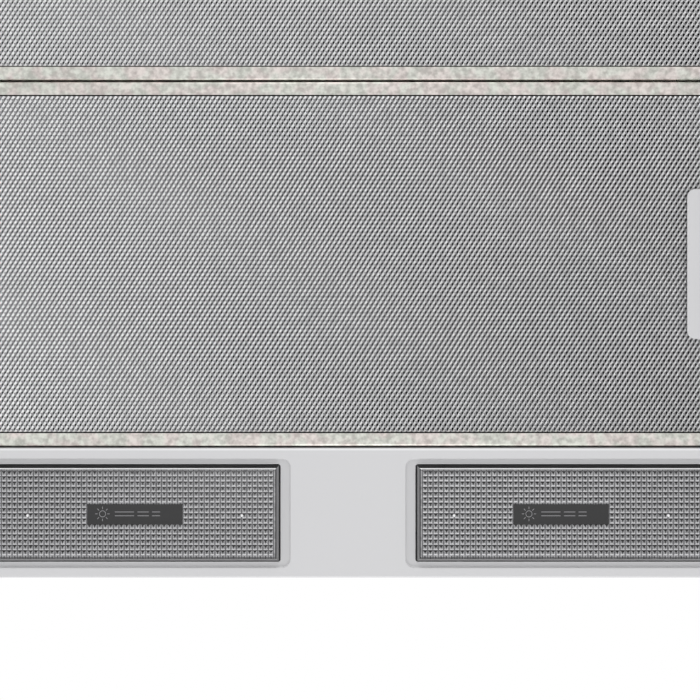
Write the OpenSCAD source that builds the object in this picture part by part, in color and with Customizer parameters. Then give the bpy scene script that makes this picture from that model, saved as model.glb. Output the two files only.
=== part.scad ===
// Under cabinet range hood: a white wedge-shaped housing with two wide grease filters,
// two lamps along the wall, a flat centrifugal blower and a round outlet on top.
// X runs side to side, +Y points to the wall and +Z up. The origin is the centre of the
// flat top that is screwed to the cabinet.

/* [Housing] */
// Overall width, side to side
hood_w = 600; // [500:1:900]
// Overall depth, from the wall to the front edge
hood_d = 482; // [460:1:600]
// Height at the wall, from the underside to the cabinet
hood_h = 150; // [140:1:200]
// Height of the front edge
front_h = 55; // [50:1:64]
// Depth of the flat top that lies under the cabinet
cabinet_d = 300; // [285:1:330]
// Thickness of the steel sheet
sheet_t = 1; // [0.8:0.1:1.4]
// Thickness of the underside plates
plate_t = 2; // [1.5:0.1:2.5]
// White margin on each side of the filters
side_margin = 66; // [45:1:90]
// Depth of the light panel along the wall
light_d = 71.5; // [70:0.5:90]
// Depth of the rim under the front edge
front_rim = 6.5; // [6:0.5:14]
// Depth of the hollow front moulding
fascia_d = 18; // [16:1:24]
// Wall of the front moulding
fascia_t = 2.5; // [2:0.1:3.5]

/* [Cabinet screws] */
// Spacing of the screw holes along the width
mount_x = 440; // [430:1:460]
// Spacing of the screw holes along the depth
mount_y = 220; // [180:1:240]
// Diameter of each screw hole
mount_hole_d = 5.5; // [4.5:0.1:6.5]

/* [Outlet] */
// Outside diameter of the duct collar
collar_d = 120; // [100:1:122]
// Height of the duct collar above the top
collar_h = 38; // [30:1:60]
// Wall of the duct collar
collar_t = 2; // [1.5:0.1:3]
// Distance of the collar's centre from the wall
collar_from_wall = 91; // [80:1:100]

/* [Blower] */
// Diameter of the fan wheel
wheel_d = 150; // [120:1:154]
// Height of the fan wheel
wheel_h = 58; // [50:1:62]
// Number of blades on the fan wheel
blades = 36; // [24:1:44]
// Inner height of the scroll
scroll_h = 75; // [70:1:78]
// Wall of the scroll
scroll_t = 2; // [1.5:0.1:2.5]
// How much the scroll opens out in one turn
scroll_growth = 40; // [30:1:42]
// Distance of the wheel's axis to the left of the middle
wheel_left = 105; // [103:1:110]
// Diameter of the motor
motor_d = 80; // [60:1:90]
// Diameter of the motor's shaft
shaft_d = 8; // [6:0.5:10]

/* [Lamps] */
// Length of each lamp window
lens_w = 159.6; // [150:0.2:180]
// Width of each lamp window
lens_d = 54.2; // [50:0.2:58]
// Distance between the two lamp centres
lamp_pitch = 234; // [215:1:260]
// Distance of the window's edge from the wall
lens_from_wall = 8.5; // [8.5:0.1:12]
// How far the lens stands below the underside
lens_proud = 1.8; // [1:0.1:4]
// Slope of the lens's sides, measured across
lens_draft = 2.3; // [1:0.1:3.5]
// Width of the sunk border at the ends of the window
border_end = 5.3; // [3:0.1:8]
// Width of the sunk border along the window
border_side = 2.7; // [2:0.1:3.5]
// Depth of the sunk border
border_sink = 1.2; // [0.6:0.1:1.4]
// Height of the lamp tray
tray_h = 41; // [38:1:46]
// Diameter of the bulb's glass
bulb_d = 35; // [25:1:35]
// Length of the bulb's glass
bulb_len = 78; // [60:1:90]

/* [Filters] */
// Thickness of a filter cassette
filter_t = 9; // [8:0.5:12]
// Width of the filter frame's lip
lip_w = 7.3; // [6:0.1:12]
// Gap around each filter
filter_gap = 0.8; // [0.6:0.1:1.5]
// How far the filters sit above the underside
filter_sink = 0.4; // [0:0.1:1]
// Length of the filter handle, front to back
handle_l = 82.5; // [70:0.5:110]
// Width of the filter handle
handle_w = 39; // [36:1:50]

/* [Controls] */
// Travel of the fan slider, over four positions
fan_travel = 15; // [12:1:21]
// Travel of the light slider
light_travel = 6; // [4:1:8]
// Distance of the controls' centre to the right of the middle
controls_right = 210; // [150:1:210]

/* [Hidden] */
$fn = 48;

// Clearances
cut = 1;              // how far a cutting shape runs past the face that it opens
fit = 0.4;            // gap between a moulding and the hole that it sits in
slide_fit = 0.3;      // gap beside a part that slides
run_fit = 0.05;       // radial gap around a turning shaft or pin

// Screws
small_screw_r = 1.5;
screw_r = 1.8;
housing_screw_x = hood_w / 2 - sheet_t - 6;

// Planes
y_wall = cabinet_d / 2;
y_front = y_wall - hood_d;
z_under = -hood_h;
z_plate = z_under + plate_t;
z_fascia_top = z_under + front_h;
y_fascia = y_front + fascia_d;
y_light = y_wall - light_d;
y_rim = y_front + front_rim;
open_half_w = hood_w / 2 - side_margin;
upstand_h = 12;
z_upstand = z_plate + upstand_h;
side_flange = 12;

// Filters
filter_half_w = open_half_w - filter_gap;
filter_d = (y_light - y_rim - 3 * filter_gap) / 2;
filter_y_rear = y_light - filter_gap - filter_d / 2;
filter_y_front = filter_y_rear - filter_d - filter_gap;
z_filter = z_under + filter_sink;
z_filter_top = z_filter + filter_t;
frame_t = 0.8;
mesh_t = 0.5;
core_t = filter_t - 2 * frame_t - 2 * mesh_t;
tongue_w = 30;
tongue_l = 6.8;
tongue_t = 1;
tongue_rise = plate_t - filter_sink + 0.2; // the tongues lie just above the left rail's plate
tongue_at = filter_d / 2 - 38;
notch_play = 2;

// Handle and latch, measured from the cassette's right edge
handle_x1 = filter_half_w - lip_w - slide_fit;
handle_x0 = handle_x1 - handle_w;
handle_t = 1.5;
pocket_l = 52;        // hollow behind the plate, along Y
pocket_open = 34;     // finger opening in the plate, along Y
pocket_x0 = handle_x0 + 8;
pocket_x1 = handle_x1 - 4;
pocket_wall = 1.2;
z_pocket = z_filter_top - frame_t - pocket_wall;
latch_t = 2.4;
latch_z = z_pocket - latch_t - slide_fit;
z_ledge = latch_z - slide_fit;
latch_w = 9;
latch_l = 48;
nose_gap = 0.35;      // the nose stops this far short of its catch
nose_l = 16;
grip_l = 30;
grip_t = 2.5;
spring_t = 0.4;
spring_w = 1.6;
spring_sway = 2.4;
spring_at = 20.5;
spring_foot = 2;       // flat foot at each end of a spring

// Blower
wheel_c = [-wheel_left, y_wall - collar_from_wall - 88];
z_scroll_top = -sheet_t;
z_scroll = z_scroll_top - scroll_t - scroll_h;
z_scroll_under = z_scroll - scroll_t;
z_wheel_top = z_scroll_top - scroll_t - 9;
wheel_r = wheel_d / 2;
blade_band = 15;
tongue_gap = 7;
inlet_r = wheel_r - 9;
hub_r = 9;
hub_h = 10;
disc_t = 2;
motor_gap = 8;
z_motor_top = z_wheel_top - disc_t - motor_gap;
grommet_t = 2;
bracket_t = 2;
z_bracket = z_scroll_under - grommet_t - bracket_t;
mount_r = inlet_r + 8;
arm_w = 12;
grille_gap = 3;
grille_t = 2;
z_grille = z_bracket - grille_gap - grille_t;
grille_foot_r = inlet_r + 14;

// Capacitor
cap_body_r = 15;
cap_body_l = 52;
cap_at = [wheel_c[0] + 215, wheel_c[1] - 31, -sheet_t - cap_body_r];
clamp_w = 12;
clamp_t = 1;

// Outlet
collar_c = [0, y_wall - collar_from_wall];
collar_r = collar_d / 2;
collar_bore_r = collar_r - collar_t;
flange_w = collar_d + 30;
flange_t = 1.5;
collar_screw_at = flange_w / 2 - 9;
pin_z = 10;
pin_r = 1.5;
knuckle_r = 3;
flap_t = 1.2;
flap_r = collar_bore_r - 1.4;
flap_drop = 1.6;
ledge_h = 2;
ledge_w = 2.4;
knuckle_in = 18;
knuckle_out = collar_bore_r - 10;

// Lamps
lamp_x = lamp_pitch / 2;
lens_y = y_wall - lens_from_wall - lens_d / 2;
z_sunk = z_under + border_sink;
pad_t = 1;
z_pad = z_plate + pad_t;
border_r = 4.5;
window_r = 1.6;
lens_r = window_r - fit;
lens_t = 2;
hook_l = 3.4;
hook_t = 1.2;
hook_gap = 0.3;
rib_r = 0.25;
z_lens = z_under - lens_proud;
z_lens_top = z_pad + 1;
tray_t = 0.8;
tray_margin = 3;
tray_half_w = lens_w / 2 + tray_margin;
tray_y0 = lens_y - lens_d / 2 - tray_margin;
tray_y1 = y_wall - sheet_t - 1.8;
z_tray = z_pad + tray_h;
bulb_clear = 5.5;     // from the underside to the bulb
bulb_z = z_under + bulb_clear + bulb_d / 2;
socket_r = 13.5;
socket_l = 30;
socket_neck = 10;     // length of the lampholder's narrower front
cap_in = 17;          // how far the cap sits inside the lampholder
cap_tip = 2;
cap_r = 6.8;
cap_l = 22;
socket_x = lamp_x - tray_half_w + tray_t;
cap_x = socket_x + socket_l - cap_in;
glass_x = cap_x + cap_l;
tray_foot = 10;

// Controls
block_w = 84;
block_h = 22;
block_y0 = y_front + fascia_t;
block_y1 = y_fascia - 1;
controls_z = z_under + front_h / 2 + 4;
slot_h = 4;
slot_deep = 8;        // how far a slider's slot runs into the switch block
stem_in = 6;          // how far a slider's stem reaches into it
grip_groove = 0.8;
grip_pitch = 2;
knob_w = 8;
knob_h = 7;
knob_out = 4.5;
bezel_t = 0.8;
fan_x = controls_right - 30;
light_x = controls_right + 20;

// Wiring compartment
box_x0 = 160;
box_w = 78;
box_d = 54;
box_h = 38;
box_wall = 2;
box_y1 = y_wall - sheet_t;
gland_x = box_x0 + box_w / 2;
gland_z = -sheet_t - box_h / 2;
gland_r = 8;
gland_bore_r = 4;
gland_flange = 1.5;
gland_nut = 3;
lid_t = 1.6;
lid_screw_r = 3;
lid_screw_h = 1.4;
strip_in = 14;        // from the box's side to the terminal strip
strip_at = 10;        // and from its front
strip_d = 18;
strip_h = 12;
strip_pitch = 10;
strip_hole_r = 2.2;

// A place between the blower's inlet edge, t = 0, and the motor's side, t = 1
function inlet_x(t) = wheel_c[0] + inlet_r - t * (inlet_r - motor_d / 2);

// Routes of the internal leads, each a list of points chosen by hand
lead_r = 2.5;
lamp_route = [
  [159.9, 120, -22], [150, 120, -22], [140, 120, -22], [104, 124, -38], [70, 128, -64], [52, 128, -86],
  [50, 128, -94], [50, 128, -100], [50, 128, -105.9]
];
motor_route = [
  [159.9, 104, -32], [150, 104, -32], [140, 104, -32], [100, 60, -70], [40, 0, -84], [-10, -26, -84],
  [wheel_c[0] + inlet_r + 3, wheel_c[1], -84], [inlet_x(0.3), wheel_c[1], -82],
  [inlet_x(0.54), wheel_c[1], -77.5], [inlet_x(0.69), wheel_c[1], -74], [inlet_x(0.81), wheel_c[1], -73],
  [inlet_x(0.9), wheel_c[1], -73], [inlet_x(1) + 0.1, wheel_c[1], -73]
];
switch_route = [
  [200, box_y1 - box_d - 0.1, -30], [200, box_y1 - box_d - 6, -30], [200, box_y1 - box_d - 12, -30],
  [215, 50, -18], [222, -20, -10], [224, y_front + 222, -12], [222, y_front + 172, -30],
  [218, y_front + 112, 0.65 * z_fascia_top], [214, y_front + 52, z_fascia_top - 5],
  [212, y_fascia + 12, controls_z + 3.5], [212, y_fascia + 7, controls_z + 2.5],
  [212, y_fascia + 3, controls_z + 2.5], [212, block_y1 + 0.1, controls_z + 2.5]
];

// ---------- helpers ----------

// Extrudes a YZ outline along X, centred
module along_x(length) {
  rotate([90, 0, 90]) linear_extrude(length, center = true) children();
}

// A box from its lowest to its highest corner
module span(low, high) {
  translate(low) cube(high - low);
}

// A rectangle with true round corners, centred
module rounded_rect(w, d, r) {
  square([w, d - 2 * r], center = true);
  square([w - 2 * r, d], center = true);
  for (sx = [-1, 1], sy = [-1, 1]) translate([sx * (w / 2 - r), sy * (d / 2 - r)]) circle(r);
}

module tube(outer_r, inner_r, h) {
  difference() {
    cylinder(r = outer_r, h = h);
    translate([0, 0, -cut]) cylinder(r = inner_r, h = h + 2 * cut);
  }
}

// A pan head screw that points up, with its head's underside at the origin
module screw_up(shank_r, head_r, length) {
  cylinder(r = shank_r, h = length);
  translate([0, 0, -1.6]) cylinder(r1 = head_r * 0.75, r2 = head_r, h = 1.6);
}

// Catmull-Rom point on a route, between points i and i + 1
function on_route(p, i, t) =
  let (n = len(p) - 1,
       a = p[max(i - 1, 0)], b = p[i], c = p[min(i + 1, n)], d = p[min(i + 2, n)])
  0.5 * ((2 * b) + (c - a) * t + (2 * a - 5 * b + 4 * c - d) * t * t
         + (3 * b - a - 3 * c + d) * t * t * t);

function smooth_route(p, steps) = concat(
  [for (i = [0 : len(p) - 2], k = [0 : steps - 1]) on_route(p, i, k / steps)],
  [p[len(p) - 1]]
);

function unit(v) = v / norm(v);

function heading(p, i) = unit(p[min(i + 1, len(p) - 1)] - p[max(i - 1, 0)]);

// A frame across a heading that keeps one side as level as it can
function across(h) = abs(h[2]) > 0.97 ? unit(cross(h, [0, 1, 0])) : unit(cross(h, [0, 0, 1]));

// A round tube along a list of points, closed at both ends
module sweep(p, r, sides) {
  n = len(p);
  rings = [
    for (i = [0 : n - 1])
      let (h = heading(p, i), u = across(h), v = cross(h, u))
      for (k = [0 : sides - 1])
        p[i] + r * (cos(360 * k / sides) * u + sin(360 * k / sides) * v)
  ];
  walls = [
    for (i = [0 : n - 2], k = [0 : sides - 1])
      let (a = i * sides + k, b = i * sides + (k + 1) % sides)
      [a, b, b + sides, a + sides]
  ];
  first = [[for (k = [sides - 1 : -1 : 0]) k]];
  last = [[for (k = [0 : sides - 1]) (n - 1) * sides + k]];
  polyhedron(rings, concat(walls, first, last), convexity = 6);
}

// ---------- housing ----------

function shell_outline(inset, low) = [
  [y_wall - inset, low],
  [y_wall - inset, -inset],
  [y_wall - cabinet_d + inset / 2, -inset],
  [y_fascia + inset, z_fascia_top - inset],
  [y_fascia + inset, low]
];

module housing_shell() {
  color("white") difference() {
    along_x(hood_w) polygon(shell_outline(0, z_plate));
    along_x(hood_w - 2 * sheet_t) polygon(shell_outline(sheet_t, z_plate + sheet_t));
    // open underside, between the flanges along the two sides
    span([-hood_w / 2 + sheet_t + side_flange, y_fascia - cut, z_plate - cut],
         [hood_w / 2 - sheet_t - side_flange, y_wall - sheet_t, z_plate + sheet_t + cut]);
    // clearance over the front filter, and the opening behind the controls
    span([-open_half_w - sheet_t - fit, y_fascia - cut, z_plate - cut],
         [open_half_w + sheet_t + fit, y_fascia + sheet_t + cut, z_upstand + fit]);
    span([controls_right - block_w / 2 + 6, y_fascia - cut, controls_z - block_h / 2 + 2],
         [controls_right + block_w / 2 - 6, y_fascia + sheet_t + cut, controls_z + block_h / 2 - 2]);
    translate([collar_c[0], collar_c[1], -sheet_t - cut]) cylinder(r = collar_bore_r, h = sheet_t + 2 * cut);
    for (sx = [-1, 1], sy = [-1, 1])
      translate([sx * mount_x / 2, sy * mount_y / 2, -sheet_t - cut])
        cylinder(r = mount_hole_d / 2, h = sheet_t + 2 * cut);
    translate([gland_x, y_wall + cut, gland_z]) rotate([90, 0, 0])
      cylinder(r = gland_r, h = sheet_t + 2 * cut);
    housing_screw_holes();
    collar_screw_holes();
  }
}

housing_screw_y = [y_rim + 40, (y_rim + y_light) / 2, y_light - 30];

module housing_screw_holes() {
  for (s = [-1, 1], y = housing_screw_y) translate([s * housing_screw_x, y, z_under - cut])
    cylinder(r = screw_r + run_fit, h = plate_t + sheet_t + 2 * cut);
}

module collar_screw_holes() {
  for (sx = [-1, 1], sy = [-1, 1])
    translate([collar_c[0] + sx * collar_screw_at, collar_c[1] + sy * collar_screw_at, -sheet_t - cut])
      cylinder(r = small_screw_r + run_fit, h = sheet_t + flange_t + 2 * cut);
}

fascia_r = 6;

// The front moulding's outline, with its two front edges rounded
module fascia_outline(inset) {
  translate([inset, inset]) {
    w = fascia_d - inset;
    h = front_h - 2 * inset;
    r = fascia_r - inset;
    translate([r, 0]) square([w - r, h]);
    translate([0, r]) square([w, h - 2 * r]);
    translate([r, r]) circle(r);
    translate([r, h - r]) circle(r);
  }
}

module front_fascia() {
  color("white") difference() {
    translate([0, y_front, z_under]) along_x(hood_w) fascia_outline(0);
    translate([0, y_front, z_under]) along_x(hood_w - 2 * fascia_t) {
      fascia_outline(fascia_t);
      translate([fascia_d - cut, fascia_t]) square([2 * cut, front_h - 2 * fascia_t]);
    }
    // the underside behind the rim is left open for the filter and the side rails
    span([-hood_w / 2 - cut, y_rim, z_under - cut], [hood_w / 2 + cut, y_fascia + cut, z_plate]);
    span([-hood_w / 2 + fascia_t, y_rim, z_under - cut], [hood_w / 2 - fascia_t, y_fascia + cut, z_upstand]);
    span([controls_right - block_w / 2 + 3, y_front - cut, controls_z - 7],
         [controls_right + block_w / 2 - 3, y_front + fascia_t + cut, controls_z + 7]);
  }
}

// Sunk border and window for one lamp, as a cutting shape
module lamp_cutout() {
  translate([0, lens_y, z_under - cut])
    linear_extrude(border_sink + cut)
      rounded_rect(lens_w + 2 * border_end, lens_d + 2 * border_side, border_r);
  translate([0, lens_y, z_under - cut])
    linear_extrude(plate_t + pad_t + 2 * cut) rounded_rect(lens_w, lens_d, window_r);
}

module light_panel() {
  color("white") difference() {
    union() {
      span([-hood_w / 2, y_light, z_under], [hood_w / 2, y_wall, z_plate]);
      for (s = [-1, 1])
        span([s * lamp_x - tray_half_w - tray_foot - 1, tray_y0 - 1, z_plate],
             [s * lamp_x + tray_half_w + tray_foot + 1, tray_y1, z_pad]);
      span([-open_half_w, y_light, z_plate], [open_half_w, y_light + 1.2, z_upstand]);
      span([-hood_w / 2 + sheet_t + side_flange + 1, tray_y1 + 0.4, z_plate],
           [hood_w / 2 - sheet_t - side_flange - 1, y_wall - sheet_t, z_upstand]);
    }
    for (s = [-1, 1]) translate([s * lamp_x, 0, 0]) lamp_cutout();
    for (s = [0, 1]) mirror([s, 0, 0]) translate([0, 0, cut]) tray_screw_holes();
  }
}

// Underside strip beside the filters, on the +X side
module side_rail() {
  span([open_half_w, y_rim, z_under], [hood_w / 2, y_light, z_plate]);
  span([open_half_w, y_rim, z_plate], [open_half_w + sheet_t, y_light, z_upstand]);
}

module side_rail_left() {
  color("white") difference() {
    mirror([1, 0, 0]) side_rail();
    housing_screw_holes();
    for (c = [filter_y_rear, filter_y_front], s = [-1, 1])
      span([-open_half_w - sheet_t - cut, c + s * tongue_at - tongue_w / 2 - notch_play, z_plate],
           [-open_half_w + cut, c + s * tongue_at + tongue_w / 2 + notch_play, z_upstand + cut]);
  }
}

module side_rail_right() {
  color("white") difference() {
    side_rail();
    housing_screw_holes();
    // the catch that each latch nose faces
    for (c = [filter_y_rear, filter_y_front])
      span([open_half_w - cut, c - nose_l / 2 - notch_play, latch_z - 1],
           [open_half_w + sheet_t + cut, c + nose_l / 2 + notch_play, latch_z + latch_t + 1]);
  }
}

y_rail = (filter_y_rear + filter_y_front) / 2;
cross_w = 24;
cross_h = 8;

module cross_rail() {
  color("white") difference() {
    span([-open_half_w, y_rail - cross_w / 2, z_filter_top + 1],
         [open_half_w, y_rail + cross_w / 2, z_filter_top + 1 + cross_h]);
    span([-open_half_w - cut, y_rail - cross_w / 2 + sheet_t, z_filter_top + 1 + sheet_t],
         [open_half_w + cut, y_rail + cross_w / 2 - sheet_t, z_filter_top + 1 + cross_h + cut]);
  }
}

// ---------- blower ----------

function spiral_r(a) = wheel_r + tongue_gap + scroll_growth * a / 360;

// The three places where the motor's bracket is screwed on
module at_mounts() {
  for (a = [30 : 120 : 270])
    translate([wheel_c[0], wheel_c[1], 0]) rotate(a) translate([mount_r, 0, 0]) children();
}

module scroll_space() {
  translate(wheel_c) polygon([for (a = [0 : 6 : 360]) spiral_r(a) * [cos(a), sin(a)]]);
  hull() {
    translate([wheel_c[0] + wheel_r + tongue_gap + 4, wheel_c[1]]) square([scroll_growth - 4, 1]);
    translate(collar_c) circle(collar_bore_r + 2);
  }
}

module scroll_upper() {
  color("dimgray") difference() {
    translate([0, 0, z_scroll]) linear_extrude(scroll_h + scroll_t) offset(r = scroll_t) scroll_space();
    translate([0, 0, z_scroll - cut]) linear_extrude(scroll_h + cut) scroll_space();
    translate([collar_c[0], collar_c[1], z_scroll_top - scroll_t - cut])
      cylinder(r = collar_bore_r, h = scroll_t + 2 * cut);
  }
}

module scroll_lower() {
  color("dimgray") difference() {
    union() {
      translate([0, 0, z_scroll_under]) linear_extrude(scroll_t) offset(r = scroll_t + 3) scroll_space();
      translate([wheel_c[0], wheel_c[1], z_scroll]) cylinder(r = inlet_r + 2, h = 5);
    }
    translate([wheel_c[0], wheel_c[1], z_scroll_under - cut])
      cylinder(r = inlet_r, h = scroll_t + 5 + 2 * cut);
    at_mounts() translate([0, 0, z_scroll_under - cut])
      cylinder(r = screw_r + run_fit, h = scroll_t + 2 * cut);
  }
}

module blade() {
  mid = wheel_r - blade_band / 2;
  translate([mid, 0]) intersection() {
    translate([0, -blade_band / 2]) difference() {
      circle(blade_band);
      circle(blade_band - 0.9);
    }
    translate([-blade_band / 2, 0]) square([blade_band, blade_band]);
  }
}

module impeller() {
  color("gray") translate([wheel_c[0], wheel_c[1], z_wheel_top]) {
    difference() {
      union() {
        translate([0, 0, -disc_t]) cylinder(r = wheel_r, h = disc_t);
        translate([0, 0, -hub_h + 4]) cylinder(r = hub_r, h = hub_h);
      }
      translate([0, 0, -hub_h - cut]) cylinder(r = shaft_d / 2 + run_fit, h = 2 * hub_h);
    }
    translate([0, 0, -wheel_h]) tube(wheel_r, wheel_r - blade_band + 4, 2);
    translate([0, 0, -wheel_h + 1]) linear_extrude(wheel_h - 2)
      for (i = [0 : blades - 1]) rotate(360 * i / blades) blade();
  }
}

bearing_r = 9;
bearing_t = 6;

module motor_can() {
  h = z_motor_top - z_bracket - bracket_t;
  color("silver") translate([wheel_c[0], wheel_c[1], z_bracket + bracket_t]) difference() {
    union() {
      cylinder(r = motor_d / 2 - 6, h = h);
      translate([0, 0, 6]) cylinder(r = motor_d / 2, h = h - 12);
    }
    translate([0, 0, -cut]) cylinder(r = shaft_d / 2 + 1, h = h + 2 * cut);
    for (z = [-cut, h - bearing_t]) translate([0, 0, z])
      cylinder(r = bearing_r + run_fit, h = bearing_t + cut);
  }
}

module motor_bearings() {
  h = z_motor_top - z_bracket - bracket_t;
  color("goldenrod") translate([wheel_c[0], wheel_c[1], z_bracket + bracket_t])
    for (z = [0.2, h - bearing_t + 0.2]) translate([0, 0, z])
      tube(bearing_r, shaft_d / 2 + run_fit, bearing_t - 0.4);
}

module motor_shaft() {
  color("silver") translate([wheel_c[0], wheel_c[1], z_bracket - 1])
    cylinder(r = shaft_d / 2, h = z_wheel_top + 6 - z_bracket);
}

module motor_bracket() {
  color("lightgray") difference() {
    union() {
      translate([wheel_c[0], wheel_c[1], z_bracket]) {
        cylinder(r = motor_d / 2, h = bracket_t);
        for (a = [30 : 120 : 270]) rotate(a) translate([0, -arm_w / 2, 0]) cube([mount_r, arm_w, bracket_t]);
      }
      at_mounts() translate([0, 0, z_bracket]) cylinder(r = arm_w / 2, h = bracket_t);
    }
    translate([wheel_c[0], wheel_c[1], z_bracket - cut]) {
      cylinder(r = bearing_r + 3, h = bracket_t + 2 * cut);
      for (a = [90 : 120 : 330]) rotate(a) translate([motor_d / 2 - 12, 0, 0])
        cylinder(r = 6, h = bracket_t + 2 * cut);
    }
    at_mounts() translate([0, 0, z_bracket - cut]) cylinder(r = screw_r + run_fit, h = bracket_t + 2 * cut);
  }
}

module motor_grommets() {
  color("black") at_mounts() translate([0, 0, z_scroll_under - grommet_t])
    tube(5, screw_r + run_fit, grommet_t);
}

module ring(outer_r, w) {
  difference() {
    circle(outer_r);
    circle(outer_r - w);
  }
}

module inlet_grille() {
  color("black") translate([wheel_c[0], wheel_c[1], z_grille]) {
    linear_extrude(grille_t) {
      for (r = [20 : 13 : inlet_r - 4]) ring(r, 2);
      ring(grille_foot_r, 6);
      circle(8);
      for (i = [0 : 11]) rotate(30 * i) translate([7, -0.9]) square([grille_foot_r - 9, 1.8]);
    }
    for (a = [90 : 120 : 330]) rotate(a)
      translate([grille_foot_r - 3, 0, 0]) cylinder(r = 2.4, h = z_scroll_under - z_grille);
  }
}

module capacitor() {
  color("lightgray") translate(cap_at) rotate([90, 0, 0]) {
    cylinder(r = cap_body_r, h = cap_body_l);
    for (s = [-1, 1]) translate([3 * s - 0.4, -2, -6]) cube([0.8, 4, 6]);
  }
}

// Strap round the capacitor, with two feet on the underside of the top
module capacitor_clamp() {
  color("silver") translate([cap_at[0], cap_at[1] - cap_body_l / 2 + clamp_w / 2, cap_at[2]])
    rotate([90, 0, 0]) {
    linear_extrude(clamp_w) difference() {
      union() {
        circle(cap_body_r + clamp_t);
        translate([-cap_body_r - clamp_t, 0]) square([2 * cap_body_r + 2 * clamp_t, cap_body_r]);
        translate([-cap_body_r - 12, cap_body_r - clamp_t]) square([2 * cap_body_r + 24, clamp_t]);
      }
      circle(cap_body_r);
      translate([-cap_body_r, 0]) square([2 * cap_body_r, cap_body_r + cut]);
    }
  }
}

// ---------- outlet ----------

module duct_collar() {
  color("gray") translate([collar_c[0], collar_c[1], 0]) difference() {
    union() {
      linear_extrude(flange_t) rounded_rect(flange_w, flange_w, 8);
      cylinder(r = collar_r, h = collar_h);
    }
    translate([0, 0, -cut]) cylinder(r = collar_bore_r - ledge_w, h = collar_h + 2 * cut);
    translate([0, 0, -cut]) cylinder(r = collar_bore_r, h = pin_z - flap_drop - ledge_h + cut);
    translate([0, 0, pin_z - flap_drop - 0.2]) cylinder(r = collar_bore_r, h = collar_h);
    translate([-collar_r - cut, 0, pin_z]) rotate([0, 90, 0])
      cylinder(r = pin_r + run_fit, h = collar_d + 2 * cut);
    // the ledge is cut away where the flaps' knuckles turn
    translate([-collar_bore_r, -knuckle_r - 1, -cut]) cube([2 * collar_bore_r, 2 * knuckle_r + 2, pin_z]);
    translate([-collar_c[0], -collar_c[1], 0]) collar_screw_holes();
  }
}

// Half disc on the +Y side of the pin, with knuckles over the stretches given as [from, to]
module flap(own, other) {
  translate([collar_c[0], collar_c[1], pin_z]) difference() {
    union() {
      difference() {
        intersection() {
          translate([0, 0, -flap_drop]) cylinder(r = flap_r, h = flap_t);
          translate([-flap_r, 0.6, -flap_drop]) cube([2 * flap_r, flap_r, flap_t]);
        }
        for (s = other) translate([s[0] - 1, -cut, -flap_drop - cut])
          cube([s[1] - s[0] + 2, knuckle_r + 0.5 + cut, 5]);
      }
      for (s = own) translate([s[0], 0, 0]) rotate([0, 90, 0]) cylinder(r = knuckle_r, h = s[1] - s[0]);
    }
    translate([-collar_r, 0, 0]) rotate([0, 90, 0]) cylinder(r = pin_r + run_fit, h = collar_d);
  }
}

inner_knuckles = [[-knuckle_in, knuckle_in]];
outer_knuckles = [[-knuckle_out, -knuckle_in - 1], [knuckle_in + 1, knuckle_out]];

module flap_rear() {
  color("dimgray") flap(inner_knuckles, outer_knuckles);
}

module flap_front() {
  color("dimgray") translate([0, 2 * collar_c[1], 0]) mirror([0, 1, 0]) flap(outer_knuckles, inner_knuckles);
}

module flap_pin() {
  color("silver") translate([collar_c[0] - collar_r + 0.2, collar_c[1], pin_z])
    rotate([0, 90, 0]) cylinder(r = pin_r, h = collar_d - 0.4);
}

// ---------- lamps, drawn for the +X side ----------

// The drafted part of a lens, from its small face at z0 to its full outline at z1
module lens_block(w, d, z0, z1, draft) {
  skin = 0.01;
  hull($fn = 16) {
    translate([0, lens_y, z0]) linear_extrude(skin) rounded_rect(w - 2 * draft, d - 2 * draft, lens_r);
    translate([0, lens_y, z1 - skin]) linear_extrude(skin) rounded_rect(w, d, lens_r);
  }
}

module lamp_lens() {
  w = lens_w - 2 * fit;
  d = lens_d - 2 * fit;
  z_base = z_sunk;
  translate([lamp_x, 0, 0]) {
    difference() {
      union() {
        lens_block(w, d, z_lens, z_base, lens_draft);
        translate([0, lens_y, z_base]) linear_extrude(z_lens_top - z_base) rounded_rect(w, d, lens_r);
      }
      lens_block(w - 2 * lens_t, d - 2 * lens_t, z_lens + lens_t, z_lens_top + cut, lens_draft);
    }
    // two hooks that lie over the panel along the wall side, and two ribs that grip the other side
    for (s = [-1, 1]) {
      span([s * lens_w / 4 - 6, lens_y + d / 2 - lens_t, z_pad + hook_gap],
           [s * lens_w / 4 + 6, lens_y + d / 2 + hook_l, z_pad + hook_gap + hook_t]);
      translate([s * lens_w / 4 - 4, lens_y - d / 2, z_pad - 1]) rotate([0, 90, 0])
        cylinder(r = rib_r, h = 8);
    }
  }
}

module lamp_tray() {
  difference() {
    union() {
      span([lamp_x - tray_half_w, tray_y0, z_pad], [lamp_x + tray_half_w, tray_y1, z_tray]);
      span([lamp_x - tray_half_w - tray_foot, lens_y - 10, z_pad],
           [lamp_x + tray_half_w + tray_foot, lens_y + 10, z_pad + tray_t]);
    }
    span([lamp_x - tray_half_w + tray_t, tray_y0 + tray_t, z_pad - cut],
         [lamp_x + tray_half_w - tray_t, tray_y1 - tray_t, z_tray - tray_t]);
    tray_screw_holes();
  }
}

// Holes through a tray's feet and into the panel's pads
module tray_screw_holes() {
  for (s = [-1, 1]) translate([lamp_x + s * (tray_half_w + tray_foot / 2), lens_y, z_plate - cut])
    cylinder(r = small_screw_r + run_fit, h = pad_t + tray_t + 2 * cut);
}

module lampholder() {
  translate([socket_x, lens_y, bulb_z]) rotate([0, 90, 0]) difference() {
    union() {
      cylinder(r = socket_r, h = socket_l - socket_neck);
      cylinder(r = socket_r - 2.5, h = socket_l);
    }
    translate([0, 0, cap_x - socket_x]) cylinder(r = cap_r + fit, h = socket_l);
  }
}

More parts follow.
